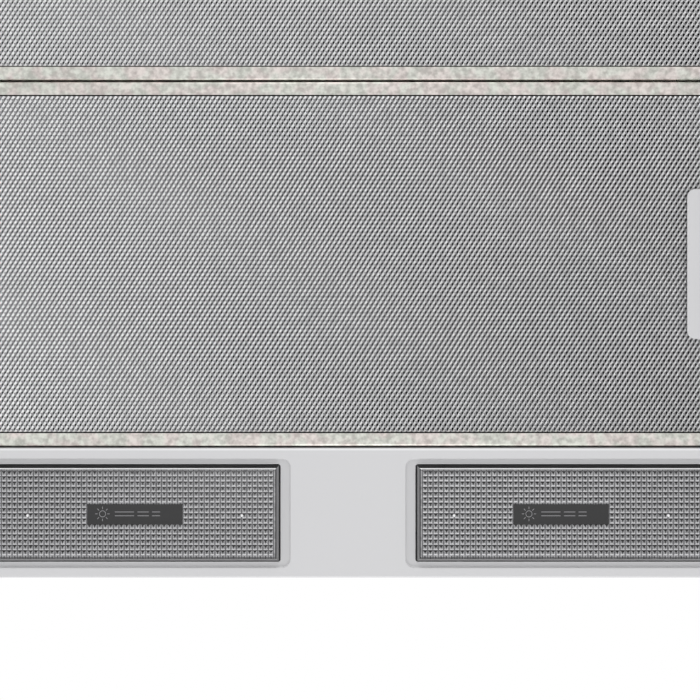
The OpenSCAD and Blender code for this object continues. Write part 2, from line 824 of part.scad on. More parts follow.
module bulb_cap() {
  translate([cap_x, lens_y, bulb_z]) rotate([0, 90, 0]) {
    translate([0, 0, cap_tip]) cylinder(r = cap_r, h = cap_l - cap_tip);
    cylinder(r1 = 2.5, r2 = cap_r, h = cap_tip);
  }
}

// Candle bulb: a fat belly that narrows to a blunt tip
bulb_shape = [
  [0, 0.34], [0.06, 0.42], [0.14, 0.62], [0.24, 0.86], [0.34, 0.98], [0.42, 1], [0.52, 0.95], [0.64, 0.8],
  [0.76, 0.6], [0.87, 0.39], [0.95, 0.22], [1, 0]
];

module bulb_glass() {
  translate([glass_x, lens_y, bulb_z]) rotate([0, 90, 0]) rotate_extrude()
    polygon(concat([[0, 0]], [for (p = bulb_shape) [p[1] * bulb_d / 2, p[0] * bulb_len]]));
}

module lamp_lens_right() { color("lightgray") lamp_lens(); }
module lamp_lens_left() { color("lightgray") mirror([1, 0, 0]) lamp_lens(); }
module lamp_tray_right() { color("silver") lamp_tray(); }
module lamp_tray_left() { color("silver") mirror([1, 0, 0]) lamp_tray(); }
module lampholder_right() { color("ivory") lampholder(); }
module lampholder_left() { color("ivory") mirror([1, 0, 0]) lampholder(); }
module bulb_glass_right() { color("gainsboro") bulb_glass(); }
module bulb_glass_left() { color("gainsboro") mirror([1, 0, 0]) bulb_glass(); }
module bulb_cap_right() { color("silver") bulb_cap(); }
module bulb_cap_left() { color("silver") mirror([1, 0, 0]) bulb_cap(); }

module tray_screws() {
  color("silver") for (m = [-1, 1], s = [-1, 1])
    translate([m * lamp_x + s * (tray_half_w + tray_foot / 2), lens_y, z_pad + tray_t])
      mirror([0, 0, 1]) screw_up(small_screw_r, 3.2, tray_t + pad_t);
}

// ---------- controls ----------

module control_bezel() {
  color("gainsboro") difference() {
    translate([controls_right, y_front, controls_z]) rotate([90, 0, 0])
      linear_extrude(bezel_t) rounded_rect(block_w + 4, block_h - 2, 3);
    slider_slot(fan_x, fan_travel);
    slider_slot(light_x, light_travel);
  }
}

// The slot that one slider's stem runs in, cut through bezel and block
module slider_slot(x, travel) {
  span([x - knob_w / 4 - slide_fit, y_front - bezel_t - cut, controls_z - slot_h / 2],
       [x + knob_w / 4 + travel + slide_fit, block_y0 + slot_deep, controls_z + slot_h / 2]);
}

module switch_block() {
  color("darkgray") difference() {
    span([controls_right - block_w / 2, block_y0, controls_z - block_h / 2],
         [controls_right + block_w / 2, block_y1, controls_z + block_h / 2]);
    slider_slot(fan_x, fan_travel);
    slider_slot(light_x, light_travel);
  }
}

module slider(x) {
  span([x - knob_w / 4, y_front - bezel_t - slide_fit, controls_z - slot_h / 2 + slide_fit],
       [x + knob_w / 4, block_y0 + stem_in, controls_z + slot_h / 2 - slide_fit]);
  difference() {
    span([x - knob_w / 2, y_front - bezel_t - slide_fit - knob_out, controls_z - knob_h / 2],
         [x + knob_w / 2, y_front - bezel_t - slide_fit, controls_z + knob_h / 2]);
    for (i = [-1 : 1])
      translate([x + i * grip_pitch, y_front - bezel_t - slide_fit - knob_out, controls_z])
        cube([grip_groove, 1.5 * grip_groove, 2 * knob_h], center = true);
  }
}

module fan_slider() { color("dimgray") slider(fan_x); }
module light_slider() { color("dimgray") slider(light_x); }

// ---------- wiring ----------

module terminal_box() {
  color("gray") difference() {
    span([box_x0, box_y1 - box_d, -sheet_t - box_h], [box_x0 + box_w, box_y1, -sheet_t]);
    span([box_x0 + box_wall, box_y1 - box_d + box_wall, -sheet_t - box_h - cut],
         [box_x0 + box_w - box_wall, box_y1 - box_wall, -sheet_t - box_wall]);
    translate([gland_x, box_y1 + cut, gland_z]) rotate([90, 0, 0])
      cylinder(r = gland_r, h = box_wall + 2 * cut);
  }
}

module terminal_lid() {
  color("gray") {
    span([box_x0, box_y1 - box_d, -sheet_t - box_h - lid_t], [box_x0 + box_w, box_y1, -sheet_t - box_h]);
    for (s = [-1, 1])
      translate([gland_x + s * (box_w / 2 - 8), box_y1 - box_d / 2, -sheet_t - box_h - lid_t - lid_screw_h])
        cylinder(r = lid_screw_r, h = lid_screw_h);
  }
}

module terminal_block() {
  color("ivory") difference() {
    span([box_x0 + strip_in, box_y1 - box_d + strip_at, -sheet_t - box_wall - strip_h],
         [box_x0 + box_w - strip_in, box_y1 - box_d + strip_at + strip_d, -sheet_t - box_wall]);
    for (i = [-2 : 2])
      translate([gland_x + i * strip_pitch, box_y1 - box_d + strip_at + 5, -sheet_t - box_wall - strip_h])
        translate([0, 0, -cut])
        cylinder(r = strip_hole_r, h = strip_h / 2 + cut);
  }
}

module cable_gland() {
  l = gland_flange + sheet_t + box_wall + gland_nut;
  color("black") translate([gland_x, y_wall + gland_flange, gland_z]) rotate([90, 0, 0]) difference() {
    union() {
      cylinder(r = gland_r - run_fit, h = l);
      cylinder(r = gland_r + 3, h = gland_flange);
      translate([0, 0, l - gland_nut]) cylinder(r = gland_r + 2, h = gland_nut);
    }
    translate([0, 0, -cut]) cylinder(r = gland_bore_r, h = l + 2 * cut);
  }
}

module lamp_harness() { color("white") sweep(smooth_route(lamp_route, 6), lead_r, 8); }
module motor_harness() { color("black") sweep(smooth_route(motor_route, 6), lead_r, 8); }
module switch_harness() { color("black") sweep(smooth_route(switch_route, 6), lead_r, 8); }

// ---------- filters, each drawn about its own middle ----------

// The hole through a cassette's layers that the handle's pocket fills, with a channel for the nose
module handle_hole(z0, z1) {
  span([pocket_x0 - pocket_wall - fit, -pocket_l / 2 - pocket_wall - fit, z0],
       [pocket_x1 + pocket_wall + fit, pocket_l / 2 + pocket_wall + fit, z1]);
}

module filter_layer(z0, t) {
  difference() {
    span([-filter_half_w + frame_t, -filter_d / 2 + frame_t, z0],
         [filter_half_w - frame_t, filter_d / 2 - frame_t, z0 + t]);
    handle_hole(z0 - cut, z0 + t + cut);
  }
}

module nose_slot(x0, x1) {
  span([x0, -nose_l / 2 - slide_fit, latch_z - slide_fit],
       [x1, nose_l / 2 + slide_fit, latch_z + latch_t + slide_fit]);
}

module filter_core() {
  difference() {
    filter_layer(z_core, core_t);
    nose_slot(pocket_x1, filter_half_w);
  }
}

module filter_frame() {
  difference() {
    span([-filter_half_w, -filter_d / 2, z_filter], [filter_half_w, filter_d / 2, z_filter_top]);
    span([-filter_half_w + frame_t, -filter_d / 2 + frame_t, z_filter + frame_t],
         [filter_half_w - frame_t, filter_d / 2 - frame_t, z_filter_top - frame_t]);
    span([-filter_half_w + lip_w, -filter_d / 2 + lip_w, z_filter - cut],
         [filter_half_w - lip_w, filter_d / 2 - lip_w, z_filter_top + cut]);
    nose_slot(filter_half_w - 2 * frame_t, filter_half_w + cut);
  }
  for (s = [-1, 1])
    span([-filter_half_w - tongue_l, s * tongue_at - tongue_w / 2, z_filter + tongue_rise],
         [-filter_half_w + frame_t, s * tongue_at + tongue_w / 2, z_filter + tongue_rise + tongue_t]);
}

module filter_handle() {
  difference() {
    union() {
      translate([(handle_x0 + handle_x1) / 2, 0, z_filter + frame_t - handle_t])
        linear_extrude(handle_t) rounded_rect(handle_w, handle_l, border_r);
      span([pocket_x0 - pocket_wall, -pocket_l / 2 - pocket_wall, z_filter + frame_t],
           [pocket_x1 + pocket_wall, pocket_l / 2 + pocket_wall, z_filter_top - frame_t]);
    }
    span([pocket_x0, -pocket_open / 2, z_filter - handle_t], [pocket_x1, pocket_open / 2, z_pocket]);
    span([pocket_x0, -pocket_l / 2, z_ledge], [pocket_x1, pocket_l / 2, z_pocket]);
    nose_slot(pocket_x1 - cut, pocket_x1 + pocket_wall + cut);
  }
}

latch_x1 = pocket_x1 - slide_fit;
latch_x0 = latch_x1 - latch_w;

module latch() {
  span([latch_x0, -latch_l / 2, latch_z], [latch_x1, latch_l / 2, latch_z + latch_t]);
  span([latch_x1 - cut, -nose_l / 2, latch_z], [open_half_w - nose_gap, nose_l / 2, latch_z + latch_t]);
  span([latch_x0, -grip_l / 2, z_filter + 0.2], [latch_x0 + grip_t, grip_l / 2, latch_z]);
}

// One leg of a flat zigzag spring, from a to b
module spring_leg(a, b) {
  d = b - a;
  translate([a[0], a[1], latch_z + (latch_t - spring_w) / 2]) rotate(atan2(d[1], d[0]))
    translate([0, -spring_t / 2, 0]) cube([norm(d), spring_t, spring_w]);
}

module latch_spring() {
  x0 = pocket_x0 + spring_t / 2;
  x1 = latch_x0 - spring_t / 2;
  step = (x1 - x0) / 4;
  for (s = [-1, 1], i = [0 : 3])
    let (side = i % 2 == 0 ? 1 : -1)
    spring_leg([x0 + i * step, s * spring_at - side * spring_sway],
               [x0 + (i + 1) * step, s * spring_at + side * spring_sway]);
  for (s = [-1, 1], x = [x0, x1])
    translate([x, s * spring_at - spring_sway, latch_z + latch_t / 2])
      cube([spring_t, spring_foot, spring_w], center = true);
}

z_face = z_filter + frame_t;
z_core = z_face + mesh_t;
z_back = z_core + core_t;

module at_rear() { translate([0, filter_y_rear, 0]) children(); }
module at_front() { translate([0, filter_y_front, 0]) children(); }

module filter_frame_rear() { color("gainsboro") at_rear() filter_frame(); }
module filter_frame_front() { color("gainsboro") at_front() filter_frame(); }
module filter_mesh_rear() { color("darkgray") at_rear() filter_layer(z_face, mesh_t); }
module filter_mesh_front() { color("darkgray") at_front() filter_layer(z_face, mesh_t); }
module filter_core_rear() { color("gray") at_rear() filter_core(); }
module filter_core_front() { color("gray") at_front() filter_core(); }
module filter_backing_rear() { color("darkgray") at_rear() filter_layer(z_back, mesh_t); }
module filter_backing_front() { color("darkgray") at_front() filter_layer(z_back, mesh_t); }
module filter_handle_rear() { color("white") at_rear() filter_handle(); }
module filter_handle_front() { color("white") at_front() filter_handle(); }
module latch_rear() { color("gainsboro") at_rear() latch(); }
module latch_front() { color("gainsboro") at_front() latch(); }
module latch_spring_rear() { color("silver") at_rear() latch_spring(); }
module latch_spring_front() { color("silver") at_front() latch_spring(); }

// ---------- fasteners ----------

module housing_screws() {
  color("silver") for (s = [-1, 1], y = housing_screw_y)
    translate([s * housing_screw_x, y, z_under]) screw_up(screw_r, 4, plate_t + sheet_t + 1.5);
}

module collar_screws() {
  color("silver") for (sx = [-1, 1], sy = [-1, 1])
    translate([collar_c[0] + sx * collar_screw_at, collar_c[1] + sy * collar_screw_at, flange_t])
      mirror([0, 0, 1]) screw_up(small_screw_r, 3.2, flange_t + sheet_t);
}

module blower_screws() {
  color("silver") at_mounts() translate([0, 0, z_bracket])
    screw_up(screw_r, 4, grommet_t + bracket_t + scroll_t);
}

housing_shell();
front_fascia();
light_panel();
side_rail_left();
side_rail_right();
cross_rail();
scroll_upper();
scroll_lower();
impeller();
motor_can();
motor_shaft();
motor_bearings();
motor_bracket();
motor_grommets();
inlet_grille();
capacitor();
capacitor_clamp();
duct_collar();
flap_front();
flap_rear();
flap_pin();
lamp_lens_left();
lamp_lens_right();
lamp_tray_left();
lamp_tray_right();
lampholder_left();
lampholder_right();
bulb_glass_left();
bulb_glass_right();
bulb_cap_left();
bulb_cap_right();
tray_screws();
control_bezel();
switch_block();
fan_slider();
light_slider();
terminal_box();
terminal_lid();
terminal_block();
cable_gland();
lamp_harness();
motor_harness();
switch_harness();
filter_frame_rear();
filter_mesh_rear();
filter_backing_rear();
filter_core_rear();
filter_handle_rear();
latch_rear();
latch_spring_rear();
filter_frame_front();
filter_mesh_front();
filter_backing_front();
filter_core_front();
filter_handle_front();
latch_front();
latch_spring_front();
housing_screws();
collar_screws();
blower_screws();
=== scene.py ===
import math
import bpy
from mathutils import Matrix, Vector


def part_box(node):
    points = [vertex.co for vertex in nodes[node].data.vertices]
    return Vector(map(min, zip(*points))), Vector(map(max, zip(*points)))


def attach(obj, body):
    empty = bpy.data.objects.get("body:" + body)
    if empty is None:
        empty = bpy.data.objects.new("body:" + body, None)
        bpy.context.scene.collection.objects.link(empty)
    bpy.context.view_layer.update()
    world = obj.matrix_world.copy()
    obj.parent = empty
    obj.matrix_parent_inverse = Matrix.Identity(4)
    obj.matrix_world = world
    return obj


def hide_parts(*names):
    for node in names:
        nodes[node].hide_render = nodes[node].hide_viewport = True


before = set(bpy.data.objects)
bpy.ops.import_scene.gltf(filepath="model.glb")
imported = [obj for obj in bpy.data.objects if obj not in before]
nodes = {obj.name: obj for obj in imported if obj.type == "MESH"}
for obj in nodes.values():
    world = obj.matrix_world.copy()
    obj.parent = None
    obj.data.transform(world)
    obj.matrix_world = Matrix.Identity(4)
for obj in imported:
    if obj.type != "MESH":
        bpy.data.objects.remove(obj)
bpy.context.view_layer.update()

mm = 0.001
print("frame loaded:", len(nodes), "nodes")


# ---- small helpers ----

def hexColour(text):  # sRGB hex to linear RGBA
    channels = [int(text[i:i + 2], 16) / 255 for i in (0, 2, 4)]
    return [c / 12.92 if c <= 0.04045 else ((c + 0.055) / 1.055) ** 2.4 for c in channels] + [1.0]


def addNode(tree, kind, inputs, **settings):  # an input is a value or a socket to link
    node = tree.nodes.new(kind)
    for key, value in settings.items():
        setattr(node, key, value)
    for key, value in inputs.items():
        if isinstance(value, bpy.types.NodeSocket):
            tree.links.new(value, node.inputs[key])
        else:
            node.inputs[key].default_value = value
    return node


def newMaterial(name, shaderInputs):
    material = bpy.data.materials.new(name)
    material.use_nodes = True
    tree = material.node_tree
    shader = tree.nodes["Principled BSDF"]
    for key, value in shaderInputs.items():
        shader.inputs[key].default_value = value
    place = addNode(tree, "ShaderNodeTexCoord", {})
    return material, tree, shader, place.outputs["Object"]


def selectNone():
    bpy.ops.object.select_all(action="DESELECT")


def makeActive(obj):
    selectNone()
    obj.select_set(True)
    bpy.context.view_layer.objects.active = obj


def applyModifier(obj, kind, **settings):
    makeActive(obj)
    modifier = obj.modifiers.new(kind.title(), kind)
    for key, value in settings.items():
        setattr(modifier, key, value)
    bpy.ops.object.modifier_apply(modifier=modifier.name)


def applyPlace(obj):
    makeActive(obj)
    bpy.ops.object.transform_apply(location=True, rotation=True, scale=True)


def chooseFaces(obj, test):  # selects the faces whose middle passes the test, and leaves edit mode on
    makeActive(obj)
    bpy.ops.object.mode_set(mode="EDIT")
    bpy.ops.mesh.select_mode(type="FACE")
    bpy.ops.mesh.select_all(action="DESELECT")
    bpy.ops.object.mode_set(mode="OBJECT")
    for face in obj.data.polygons:
        face.select = test(face.center)
    bpy.ops.object.mode_set(mode="EDIT")


def joinPieces(pieces):
    makeActive(pieces[0])
    for piece in pieces[1:]:
        piece.select_set(True)
    if len(pieces) > 1:
        bpy.ops.object.join()
    return pieces[0]


def addBox(low, high):  # a box between two corners, in mm
    centre = [(a + b) / 2 * mm for a, b in zip(low, high)]
    bpy.ops.mesh.primitive_cube_add(size=1, location=centre, scale=[(b - a) * mm for a, b in zip(low, high)])
    box = bpy.context.object
    applyPlace(box)
    return box


def chooseEdges(obj, test):  # selects the edges whose two ends pass the test, and leaves edit mode on
    makeActive(obj)
    bpy.ops.object.mode_set(mode="EDIT")
    bpy.ops.mesh.select_mode(type="EDGE")
    bpy.ops.mesh.select_all(action="DESELECT")
    bpy.ops.object.mode_set(mode="OBJECT")
    points = [v.co for v in obj.data.vertices]
    for edge in obj.data.edges:
        a, b = (points[i] for i in edge.vertices)
        edge.select = test(a, b)
    bpy.ops.object.mode_set(mode="EDIT")


def finishPiece(obj, name, material, body, replaced=(), smooth=30):
    obj.name = name
    obj.data.name = name
    if material:
        obj.data.materials.clear()
        obj.data.materials.append(material)
    makeActive(obj)
    bpy.ops.object.shade_smooth_by_angle(angle=math.radians(smooth))
    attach(obj, body)
    if replaced:
        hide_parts(*replaced)
    return obj


def mergedCopy(node):  # a CAD node's shape as one closed mesh with flat faces joined up
    obj = bpy.data.objects.new(node + "Copy", nodes[node].data.copy())
    bpy.context.scene.collection.objects.link(obj)
    makeActive(obj)
    bpy.ops.object.mode_set(mode="EDIT")
    bpy.ops.mesh.select_all(action="SELECT")
    bpy.ops.mesh.remove_doubles(threshold=0.002 * mm)
    bpy.ops.mesh.dissolve_limited(angle_limit=math.radians(0.5))
    bpy.ops.object.mode_set(mode="OBJECT")
    return obj


def softEdges(obj, width, segments=3, angle=35):
    applyModifier(obj, "BEVEL", width=width * mm, segments=segments, limit_method="ANGLE",
                  angle_limit=math.radians(angle), use_clamp_overlap=True)


# ---- materials ----

windowMiddle = (117 * mm, 114.4 * mm)  # middle of the right-hand lamp window; the left one mirrors it
prismPitch = (2.93, 2.9)  # mm


def toneMix(tree, amount, first, second, kind="MIX"):  # mixes two colours, each a hex text or a socket
    first, second = (hexColour(c) if isinstance(c, str) else c for c in (first, second))
    inputs = {"Factor": amount, 6: first, 7: second}  # inputs 6 and 7 are the two colours
    return addNode(tree, "ShaderNodeMix", inputs, data_type="RGBA", blend_type=kind).outputs[2]


def noiseOf(tree, place, scale, detail):
    return addNode(tree, "ShaderNodeTexNoise", {"Vector": place, "Scale": scale, "Detail": detail}).outputs[0]


def rangeOf(tree, value, low, high, toLow=0.0, toHigh=1.0):
    inputs = {"Value": value, "From Min": low, "From Max": high, "To Min": toLow, "To Max": toHigh}
    return addNode(tree, "ShaderNodeMapRange", inputs).outputs[0]


def mathOf(tree, operation, *values):
    return addNode(tree, "ShaderNodeMath", dict(enumerate(values)), operation=operation).outputs[0]


def partsOf(tree, vector):  # the X, Y and Z sockets of a vector
    return addNode(tree, "ShaderNodeSeparateXYZ", {"Vector": vector}).outputs


def faceNormal(tree):  # the X, Y and Z sockets of the flat face's own normal
    return partsOf(tree, addNode(tree, "ShaderNodeNewGeometry", {}).outputs["True Normal"])


def addBump(tree, shader, height, strength, depth):  # depth in mm
    inputs = {"Height": height, "Strength": strength, "Distance": depth * mm}
    tree.links.new(addNode(tree, "ShaderNodeBump", inputs).outputs[0], shader.inputs["Normal"])


def whiteEnamel(name, dark, light):  # sprayed enamel on steel: smooth, semi-gloss, the faintest orange peel
    finish = {"Roughness": 0.32, "Coat Weight": 0.25, "Coat Roughness": 0.18}
    material, tree, shader, place = newMaterial(name, finish)
    tone = toneMix(tree, noiseOf(tree, place, 7, 2), dark, light)
    peel = noiseOf(tree, place, 700, 1)  # 1.4 mm ripples
    tree.links.new(tone, shader.inputs["Base Color"])
    addBump(tree, shader, peel, 0.05, 0.05)
    return material


def mouldedPlastic(name, dark, light, roughness, grainScale=1500, grain=0.12):  # fine grain from the mould
    material, tree, shader, place = newMaterial(name, {"Roughness": roughness, "IOR": 1.5})
    tone = toneMix(tree, noiseOf(tree, place, 22, 3), dark, light)
    tree.links.new(tone, shader.inputs["Base Color"])
    addBump(tree, shader, noiseOf(tree, place, grainScale, 2), grain, 0.05)
    return material


def brushedMetal(name, dark, light, roughness, along):  # turned or brushed: fine lines, closer across them
    material, tree, shader, place = newMaterial(name, {"Metallic": 1.0, "Roughness": roughness})
    stretch = addNode(tree, "ShaderNodeMapping", {"Vector": place, "Scale": along})
    lines = noiseOf(tree, stretch.outputs[0], 1, 3)
    rough = rangeOf(tree, lines, 0, 1, roughness - 0.06, roughness + 0.08)
    tree.links.new(toneMix(tree, lines, dark, light), shader.inputs["Base Color"])
    tree.links.new(rough, shader.inputs["Roughness"])
    addBump(tree, shader, lines, 0.15, 0.03)
    return material


def galvanisedSteel():  # hot-dip zinc: flat crystals about 6 mm across, each a little lighter or darker
    material, tree, shader, place = newMaterial("galvanisedSteel", {"Metallic": 0.9, "Roughness": 0.45})
    spangle = addNode(tree, "ShaderNodeTexVoronoi", {"Vector": place, "Scale": 160}).outputs["Color"]
    tree.links.new(toneMix(tree, spangle, "8E9194", "B4B7BA"), shader.inputs["Base Color"])
    tree.links.new(rangeOf(tree, spangle, 0, 1, 0.35, 0.55), shader.inputs["Roughness"])
    return material


def frostedGlass():  # etched bulb glass: milky and even
    finish = {"Roughness": 0.35, "IOR": 1.45, "Transmission Weight": 0.25}
    material, tree, shader, place = newMaterial("frostedGlass", finish)
    tone = toneMix(tree, noiseOf(tree, place, 120, 2), "E9E7E2", "F5F3EE")
    tree.links.new(tone, shader.inputs["Base Color"])
    return material


def coreShadeAndGlints():  # stacked expanded sheets behind the face, drawn as one block: painted shade, near black, with painted glints along the cell edges
    material, tree, shader, place = newMaterial("coreShadeAndGlints", {"Metallic": 0.8, "Roughness": 0.5})
    inputs = {"Vector": place, "Scale": 420}  # cells near 2.4 mm
    cells = addNode(tree, "ShaderNodeTexVoronoi", inputs, feature="DISTANCE_TO_EDGE")
    edge = rangeOf(tree, cells.outputs[0], 0.02, 0.22, 1.0, 0.0)
    tree.links.new(toneMix(tree, edge, "030303", "1C1C1E"), shader.inputs["Base Color"])
    return material


def foldedStrip():  # thin sheet pressed over the nets: they print through as soft, faintly tinted mottling
    material, tree, shader, place = newMaterial("foldedAluminium", {"Metallic": 1.0, "Roughness": 0.4})
    printThrough = noiseOf(tree, place, 330, 3)  # 3 mm dapples
    tone = toneMix(tree, rangeOf(tree, printThrough, 0.35, 0.65), "C8C7C5", "F0F0EE")
    patches = rangeOf(tree, noiseOf(tree, place, 110, 1), 0.4, 0.6)  # 9 mm patches
    tint = toneMix(tree, patches, "F8FAF2", "FFF6F2")
    tree.links.new(toneMix(tree, 1.0, tone, tint, "MULTIPLY"), shader.inputs["Base Color"])
    addBump(tree, shader, printThrough, 0.25, 0.1)
    return material


def paintedSheenAluminium(name, dull, bright):  # strands whose faces turn towards +Y are painted brighter, a painted sheen for light from that side; the others stay duller
    material, tree, shader, place = newMaterial(name, {"Metallic": 1.0, "Roughness": 0.42})
    # painted sheen: brighter as the face turns towards +Y
    paintedSheen = rangeOf(tree, faceNormal(tree)["Y"], -0.3, 0.3)
    wear = rangeOf(tree, noiseOf(tree, place, 260, 3), 0.35, 0.65, 0.75, 1.0)  # 4 mm patches of handling wear
    amount = mathOf(tree, "MULTIPLY", paintedSheen, wear)
    tree.links.new(toneMix(tree, amount, dull, bright), shader.inputs["Base Color"])
    return material


def cellPlace(tree, value, start, pitch):  # how far across its own prism a point lies, from 0 to 1
    moved = mathOf(tree, "SUBTRACT", value, start)
    return mathOf(tree, "FRACT", mathOf(tree, "DIVIDE", moved, pitch * mm))


def prismPlastic():  # clear prisms, their look painted by facet direction: facets turned towards the front are painted near black as shade from the dark tray, those turned towards the wall carry a painted highlight, and dark stems and valleys are painted between them
    finish = {"Roughness": 0.14, "IOR": 1.49, "Transmission Weight": 0.25}
    material, tree, shader, place = newMaterial("prismAcrylic", finish)
    normal, spot = faceNormal(tree), partsOf(tree, place)
    across = cellPlace(tree, mathOf(tree, "ABSOLUTE", spot["X"]), windowMiddle[0], prismPitch[0])
    along = cellPlace(tree, spot["Y"], windowMiddle[1], prismPitch[1])
    clear = toneMix(tree, noiseOf(tree, place, 420, 2), "565658", "DEDEE0")  # cells differ from the mould
    # painted highlight on facets turned towards +Y
    bright = toneMix(tree, rangeOf(tree, normal["Y"], 0.25, 0.45), clear, "E8E8EA")
    # painted dark stem down the middle of each prism's upper part
    ridge = mathOf(tree, "COMPARE", across, 0.5, 0.09)
    paintedStem = mathOf(tree, "MULTIPLY", ridge, mathOf(tree, "LESS_THAN", along, 0.62))
    ridged = toneMix(tree, paintedStem, bright, "222224")
    # painted dark valleys between the columns
    paintedValley = toneMix(tree, mathOf(tree, "COMPARE", across, 0.5, 0.44), "4A4A4C", ridged)
    # painted shade, near black, on facets turned towards -Y
    tone = toneMix(tree, rangeOf(tree, normal["Y"], -0.42, -0.3), "080809", paintedValley)
    reach = mathOf(tree, "ABSOLUTE", mathOf(tree, "SUBTRACT", spot["Y"], windowMiddle[1]))
    step = mathOf(tree, "COMPARE", reach, 24.0 * mm, 0.17 * mm)  # painted dark line at the face's small step, as shade
    tree.links.new(toneMix(tree, step, tone, "343436"), shader.inputs["Base Color"])
    return material


def wallPlastic():  # the cover's plain sides: clear, with painted shade, near black, where they meet the face and the panel and on the walls turned towards the front, a painted grey band between, and a painted white highlight along the foot of the front-facing walls
    finish = {"Roughness": 0.1, "IOR": 1.49, "Transmission Weight": 0.2}
    material, tree, shader, place = newMaterial("sideAcrylic", finish)
    normal, spot = faceNormal(tree), partsOf(tree, place)
    # painted grey band at mid-height, near black as painted shade towards the face and the panel
    middle = mathOf(tree, "COMPARE", spot["Z"], -150.3 * mm, 0.8 * mm)
    # painted white highlight along the foot of the walls turned towards the front
    low = mathOf(tree, "LESS_THAN", spot["Z"], -151.05 * mm)
    grey = toneMix(tree, middle, "0C0C0E", "8E8E8F")
    foot = toneMix(tree, low, "101011", "FFFFFF")
    tone = toneMix(tree, rangeOf(tree, normal["Y"], -0.6, -0.3), foot, grey)
    tree.links.new(tone, shader.inputs["Base Color"])
    return material


def filmPlastic(name, dark, light, roughness):  # smooth moulded surface, glossy over a flat colour: painted shade for a dark window, a painted glint for a white one, or print
    finish = {"Roughness": roughness, "Coat Weight": 0.6, "Coat Roughness": 0.12}
    material, tree, shader, place = newMaterial(name, finish)
    tone = toneMix(tree, noiseOf(tree, place, 35, 2), dark, light)
    tree.links.new(tone, shader.inputs["Base Color"])
    return material


enamel = whiteEnamel("sprayedEnamel", "CFCFD0", "D5D5D6")
whitePlastic = mouldedPlastic("whiteAbs", "CDCDCE", "D3D3D4", 0.38)
blackPlastic = mouldedPlastic("blackPolypropylene", "1A1A1C", "222225", 0.5)
greyPlastic = mouldedPlastic("greyAbs", "4C4C4F", "56565A", 0.42)
bezelPlastic = mouldedPlastic("bezelAbs", "C4C4C7", "CBCBCE", 0.4)
ivoryPlastic = mouldedPlastic("ivoryPhenolic", "D8D2C2", "E2DDCE", 0.35)
blackRubber = mouldedPlastic("blackRubber", "141414", "1D1D1D", 0.75, 900, 0.2)
leadPlastic = mouldedPlastic("leadSleeve", "26262A", "323236", 0.5)
collarPaint = mouldedPlastic("collarPaint", "58585C", "626266", 0.55, 600, 0.15)
stripAluminium = foldedStrip()
meshAluminium = paintedSheenAluminium("expandedAluminium", "A2A2A3", "FFFFFF")
# the inner net's aluminium, painted darker than the face net's as shade behind it, with the same painted
# sheen
innerAluminiumShaded = paintedSheenAluminium("innerAluminiumShaded", "424244", "B8B8BA")
castAluminium = brushedMetal("castAluminium", "9C9EA0", "B4B6B8", 0.5, (300, 300, 300))
zincSteel = brushedMetal("zincSteel", "B0B2B5", "C8CACD", 0.32, (500, 500, 500))
springSteel = brushedMetal("springSteel", "8E9092", "A6A8AA", 0.3, (60, 900, 900))
sinteredBrass = brushedMetal("sinteredBrass", "9C7A3C", "B8924C", 0.45, (500, 500, 500))
galvanised = galvanisedSteel()
# near-white beads painted as two glints either side of each cover's label
glintWhite = filmPlastic("glintWhite", "F2F2F4", "FFFFFF", 0.06)
bulbGlass = frostedGlass()
coreShade = coreShadeAndGlints()
prismAcrylic = prismPlastic()
sideAcrylic = wallPlastic()
# the sunk border's enamel, painted a shade darker: painted shade
borderShadeEnamel = whiteEnamel("borderShadeEnamel", "C4C4C5", "CACACB")
# lighter enamel for the window rims and the panel's front edge: painted highlight
rimHighlightEnamel = whiteEnamel("rimHighlightEnamel", "E8E8E9", "F0F0F1")
# label window painted near black: painted shade of the tray behind it
labelShadeFilm = filmPlastic("labelShadeFilm", "09090A", "101011", 0.16)
labelInk = filmPlastic("labelInk", "8C8C8E", "9A9A9C", 0.3)
print("materials made:", len(bpy.data.materials))


# ---- CAD nodes that keep their shape ----

keptNodes = [
    (galvanised, ["lamp_tray_left", "lamp_tray_right", "motor_bracket", "capacitor_clamp"]),
    (blackPlastic, ["scroll_upper", "scroll_lower", "impeller", "inlet_grille", "switch_block",
                    "terminal_box", "terminal_lid", "flap_front", "flap_rear"]),
    (castAluminium, ["motor_can", "capacitor"]),
    (sinteredBrass, ["motor_bearings"]),
    (blackRubber, ["motor_grommets", "cable_gland"]),
    (ivoryPlastic, ["lampholder_left", "lampholder_right", "terminal_block"]),
    (bulbGlass, ["bulb_glass_left", "bulb_glass_right"]),
    (zincSteel, ["bulb_cap_left", "bulb_cap_right", "motor_shaft", "flap_pin", "tray_screws",
                 "housing_screws", "collar_screws", "blower_screws"]),
    (leadPlastic, ["lamp_harness", "motor_harness", "switch_harness"]),
    (springSteel, ["latch_spring_rear", "latch_spring_front"]),
]
for material, names in keptNodes:
    for nodeName in names:
        nodes[nodeName].data.materials.clear()
        nodes[nodeName].data.materials.append(material)


# ---- pressed and moulded parts, with their real edge radii ----

